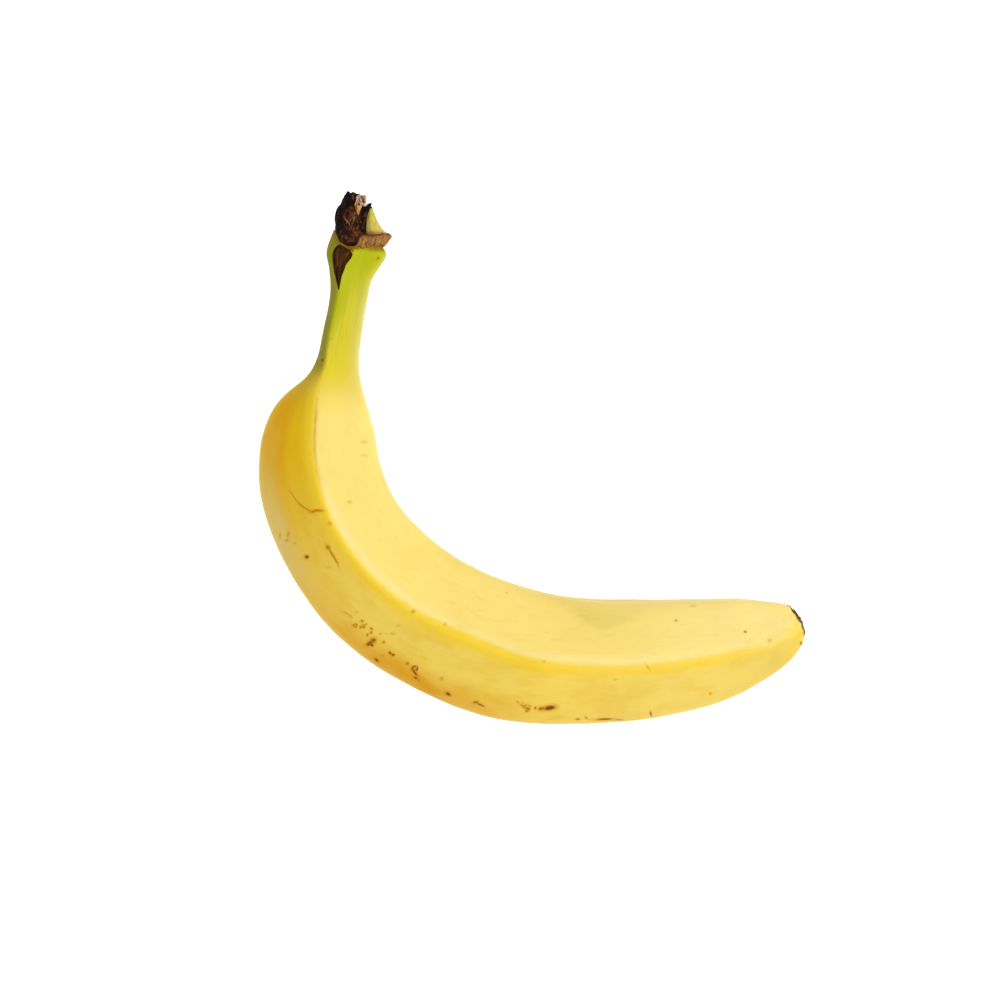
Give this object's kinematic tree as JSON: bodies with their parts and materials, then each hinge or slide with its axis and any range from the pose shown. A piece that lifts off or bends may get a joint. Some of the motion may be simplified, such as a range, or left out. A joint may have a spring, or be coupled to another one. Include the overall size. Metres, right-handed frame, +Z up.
{
  "type": "banana",
  "caption": "Single ripe banana lying on its side: bent five-sided fruit with a slim green neck, torn woody stem end and blunt dark blossom end.",
  "frame": {"origin": "on the surface the banana lies on, under the middle of its box", "axes": "+Z up from the surface; the bend lies in the XY plane, with the neck pointing along +Y and the blossom end along +X"},
  "size_m": [0.1534, 0.1488, 0.0365],
  "materials": {
    "peel": "smooth waxy skin, satin, greener at the neck",
    "dry_tissue": "dry torn fibrous tissue, matte, nearly black to brown"
  },
  "bodies": {
    "root": {"banana": "peel"}
  },
  "joints": []
}
